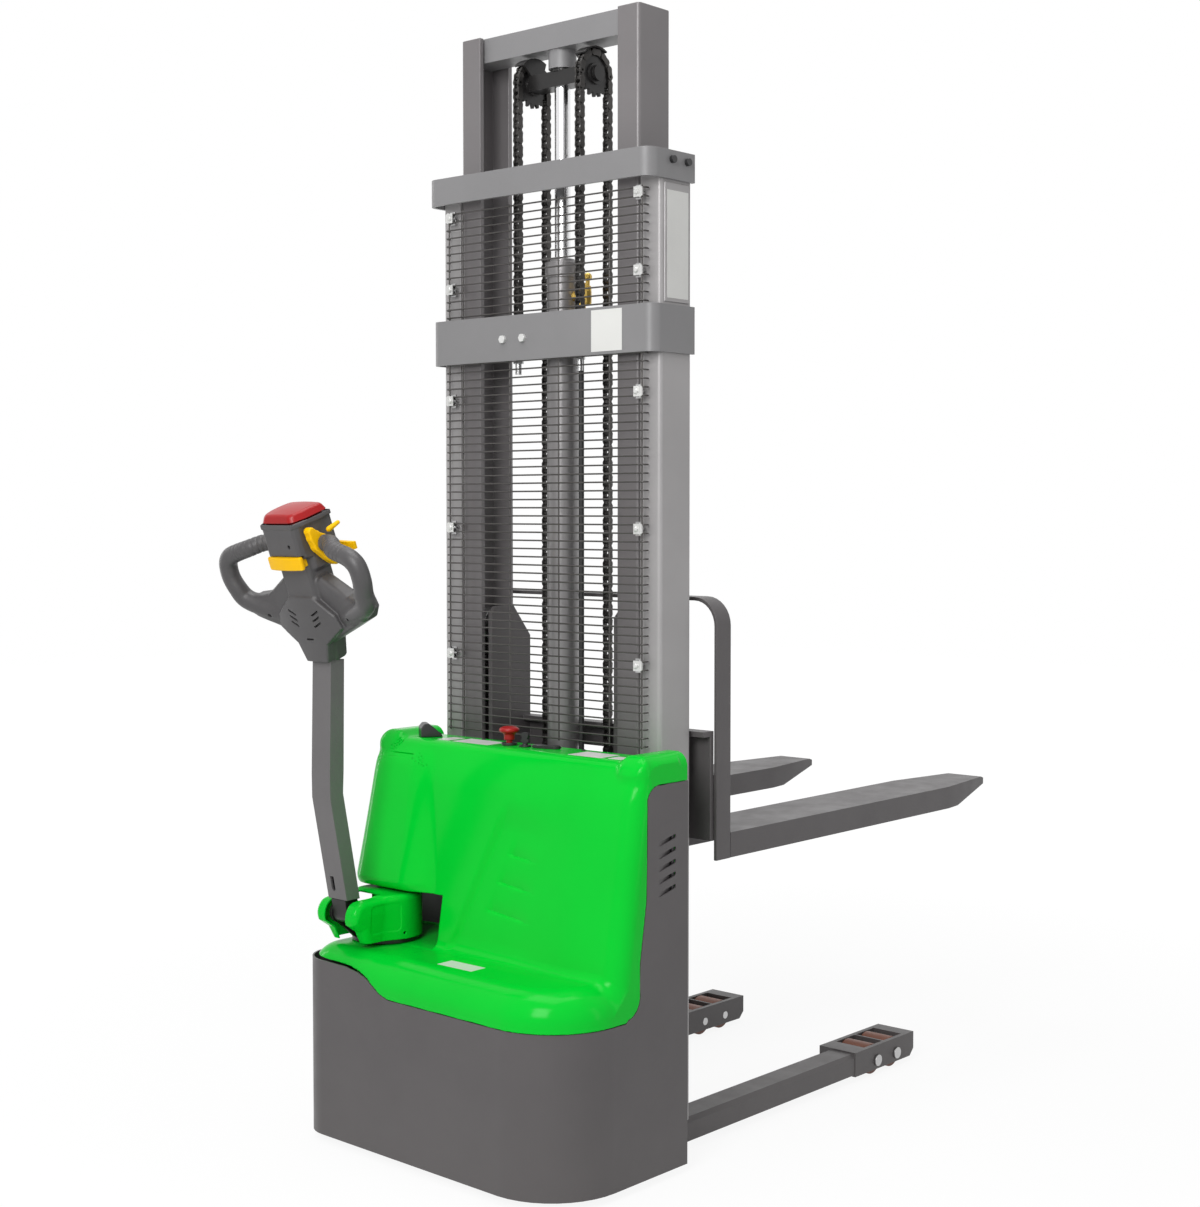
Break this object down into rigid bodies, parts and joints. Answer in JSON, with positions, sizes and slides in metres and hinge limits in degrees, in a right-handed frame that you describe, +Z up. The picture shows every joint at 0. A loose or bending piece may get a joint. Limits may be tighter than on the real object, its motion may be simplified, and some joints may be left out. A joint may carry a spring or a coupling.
{
  "type": "electric stacker",
  "caption": "Walk-behind electric pallet stacker with a two-stage mast, straddle legs, forks with a load backrest, and a steering tiller at one rear corner.",
  "frame": {"origin": "on the floor, midway between the tiller head and the fork tips and midway across the whole width", "axes": "+X to the operator's right, +Y to the fork tips, +Z up"},
  "size_m": [0.918, 1.875, 2.446],
  "materials": {
    "hood_paint": "gloss",
    "grey_paint": "satin",
    "mast_paint": "metallic satin",
    "mast_inner": "metallic satin",
    "chassis_paint": "satin",
    "guard_wire": "zinc plated",
    "bolt_steel": "satin",
    "black_steel": "satin",
    "chain_steel": "oiled",
    "rod_chrome": "mirror",
    "brass": "satin",
    "hose_rubber": "matte",
    "black_plastic": "fine grain",
    "head_plastic": "fine grain",
    "yellow_plastic": "smooth",
    "red_plastic": "smooth",
    "wheel_rubber": "matte",
    "roller_plastic": "smooth",
    "cast": "machined",
    "battery_case": "moulded"
  },
  "bodies": {
    "truck": {"chassis_frame": "chassis_paint", "leg_left": "grey_paint", "leg_right": "grey_paint", "roller_axles": "bolt_steel", "outer_mast_left": "mast_paint", "outer_mast_right": "mast_paint", "upper_strap": "grey_paint", "middle_strap": "grey_paint", "strap_bolts": "bolt_steel", "mast_guard": "guard_wire", "guard_clips": "bolt_steel", "lift_cylinder": "black_steel", "hose_fitting": "brass", "lift_hose": "hose_rubber", "anchor_beam": "mast_paint", "chain_anchors": "bolt_steel", "skirt": "grey_paint", "hood": "hood_paint", "steering_bearing": "bolt_steel", "battery": "battery_case", "power_unit": "cast", "controller": "cast", "deck_switches": "black_plastic", "battery_gauge": "black_plastic", "chain_back": "chain_steel"},
    "inner_mast": {"inner_mast_left": "mast_inner", "inner_mast_right": "mast_inner", "inner_beams": "mast_inner", "piston_rod": "rod_chrome", "sprocket_carrier": "black_steel", "chain_front": "chain_steel", "chain_wraps": "chain_steel"},
    "sprocket_left": {"sprocket_left": "black_steel"},
    "sprocket_right": {"sprocket_right": "black_steel"},
    "mast_rollers": {"mast_rollers": "bolt_steel"},
    "carriage": {"carriage": "grey_paint", "fork_left": "grey_paint", "fork_right": "grey_paint", "load_backrest": "grey_paint"},
    "carriage_rollers_top": {"carriage_rollers_top": "bolt_steel"},
    "carriage_rollers_bottom": {"carriage_rollers_bottom": "bolt_steel"},
    "steering": {"steering_head": "black_steel", "drive_motor": "cast", "tiller_cover": "hood_paint"},
    "drive_wheel": {"drive_wheel": "wheel_rubber"},
    "tiller": {"tiller_knuckle": "black_steel", "tiller_arm": "grey_paint", "head_shell": "head_plastic"},
    "belly_button": {"belly_button": "red_plastic"},
    "throttle": {"throttle": "yellow_plastic"},
    "finger_paddles": {"finger_paddles": "yellow_plastic"},
    "horn_bar": {"horn_bar": "yellow_plastic"},
    "e_stop_button": {"e_stop_button": "red_plastic"},
    "key": {"key": "black_plastic"},
    "caster_fork": {"caster_fork": "black_steel"},
    "caster_wheel": {"caster_wheel": "wheel_rubber"},
    "load_roller_1": {"load_roller_1": "roller_plastic"},
    "load_roller_2": {"load_roller_2": "roller_plastic"},
    "load_roller_3": {"load_roller_3": "roller_plastic"},
    "load_roller_4": {"load_roller_4": "roller_plastic"}
  },
  "joints": [
    {"name": "mast_lift", "type": "slide", "parent": "truck", "child": "inner_mast", "axis": [0, 0, 1], "range_m": [-0.3, 1.2], "deforming": ["chain_back"]},
    {"name": "carriage_lift", "type": "slide", "parent": "inner_mast", "child": "carriage", "axis": [0, 0, 1], "range_m": [-0.3, 1.2], "deforming": ["chain_front"]},
    {"name": "sprocket_left_spin", "type": "hinge", "parent": "inner_mast", "child": "sprocket_left", "pos_m": [-0.033, -0.35999, 2.33], "axis": [1, 0, 0], "continuous": true},
    {"name": "sprocket_right_spin", "type": "hinge", "parent": "inner_mast", "child": "sprocket_right", "pos_m": [0.151, -0.35999, 2.33], "axis": [1, 0, 0], "continuous": true},
    {"name": "mast_rollers_spin", "type": "hinge", "parent": "inner_mast", "child": "mast_rollers", "pos_m": [0.059, -0.35999, 0.45], "axis": [1, 0, 0], "continuous": true},
    {"name": "carriage_rollers_top_spin", "type": "hinge", "parent": "carriage", "child": "carriage_rollers_top", "pos_m": [0.059, -0.35999, 1.121], "axis": [1, 0, 0], "continuous": true},
    {"name": "carriage_rollers_bottom_spin", "type": "hinge", "parent": "carriage", "child": "carriage_rollers_bottom", "pos_m": [0.059, -0.35999, 0.727], "axis": [1, 0, 0], "continuous": true},
    {"name": "steering_turn", "type": "hinge", "parent": "truck", "child": "steering", "pos_m": [-0.226, -0.63349, 0.216], "axis": [0, 0, 1], "range_deg": [-70, 70]},
    {"name": "drive_wheel_spin", "type": "hinge", "parent": "steering", "child": "drive_wheel", "pos_m": [-0.226, -0.63349, 0.103], "axis": [1, 0, 0], "continuous": true},
    {"name": "tiller_tilt", "type": "hinge", "parent": "steering", "child": "tiller", "pos_m": [-0.226, -0.74849, 0.505], "axis": [1, 0, 0], "range_deg": [0, 75], "stiffness_Nm_per_rad": 16, "springref_deg": -68.75},
    {"name": "belly_button_press", "type": "slide", "parent": "tiller", "child": "belly_button", "axis": [0, 0.342, -0.9397], "range_m": [0, 0.0045], "stiffness_N_per_m": 1500},
    {"name": "throttle_turn", "type": "hinge", "parent": "tiller", "child": "throttle", "pos_m": [-0.226, -0.87394, 1.31599], "axis": [1, 0, 0], "range_deg": [-25, 25], "stiffness_Nm_per_rad": 1.5},
    {"name": "finger_paddles_rock", "type": "hinge", "parent": "tiller", "child": "finger_paddles", "pos_m": [-0.226, -0.81003, 1.30413], "axis": [0, -0.342, 0.9397], "range_deg": [-5, 5], "stiffness_Nm_per_rad": 2},
    {"name": "horn_bar_press", "type": "slide", "parent": "tiller", "child": "horn_bar", "axis": [0, 0.9397, 0.342], "range_m": [0, 0.003], "stiffness_N_per_m": 1200},
    {"name": "e_stop_press", "type": "slide", "parent": "truck", "child": "e_stop_button", "axis": [0, 0, -1], "range_m": [0, 0.005]},
    {"name": "key_turn", "type": "hinge", "parent": "truck", "child": "key", "pos_m": [0.071, -0.49549, 0.87], "axis": [0, 0, 1], "range_deg": [0, 90]},
    {"name": "caster_swivel", "type": "hinge", "parent": "truck", "child": "caster_fork", "pos_m": [0.344, -0.64949, 0.166], "axis": [0, 0, 1], "continuous": true},
    {"name": "caster_wheel_spin", "type": "hinge", "parent": "caster_fork", "child": "caster_wheel", "pos_m": [0.344, -0.67749, 0.065], "axis": [1, 0, 0], "continuous": true},
    {"name": "load_roller_1_spin", "type": "hinge", "parent": "truck", "child": "load_roller_1", "pos_m": [-0.2085, 0.51551, 0.037], "axis": [1, 0, 0], "continuous": true},
    {"name": "load_roller_2_spin", "type": "hinge", "parent": "truck", "child": "load_roller_2", "pos_m": [-0.2085, 0.42951, 0.037], "axis": [1, 0, 0], "continuous": true},
    {"name": "load_roller_3_spin", "type": "hinge", "parent": "truck", "child": "load_roller_3", "pos_m": [0.3265, 0.51551, 0.037], "axis": [1, 0, 0], "continuous": true},
    {"name": "load_roller_4_spin", "type": "hinge", "parent": "truck", "child": "load_roller_4", "pos_m": [0.3265, 0.42951, 0.037], "axis": [1, 0, 0], "continuous": true}
  ],
  "couplings": [
    {"joint": "carriage_lift", "follows": "mast_lift", "ratio": 1},
    {"joint": "sprocket_left_spin", "follows": "mast_lift", "rad_per_m": 21.877},
    {"joint": "sprocket_right_spin", "follows": "mast_lift", "rad_per_m": 21.877},
    {"joint": "mast_rollers_spin", "follows": "mast_lift", "rad_per_m": -25.253},
    {"joint": "carriage_rollers_top_spin", "follows": "mast_lift", "rad_per_m": -25.253},
    {"joint": "carriage_rollers_bottom_spin", "follows": "mast_lift", "rad_per_m": -25.253}
  ]
}
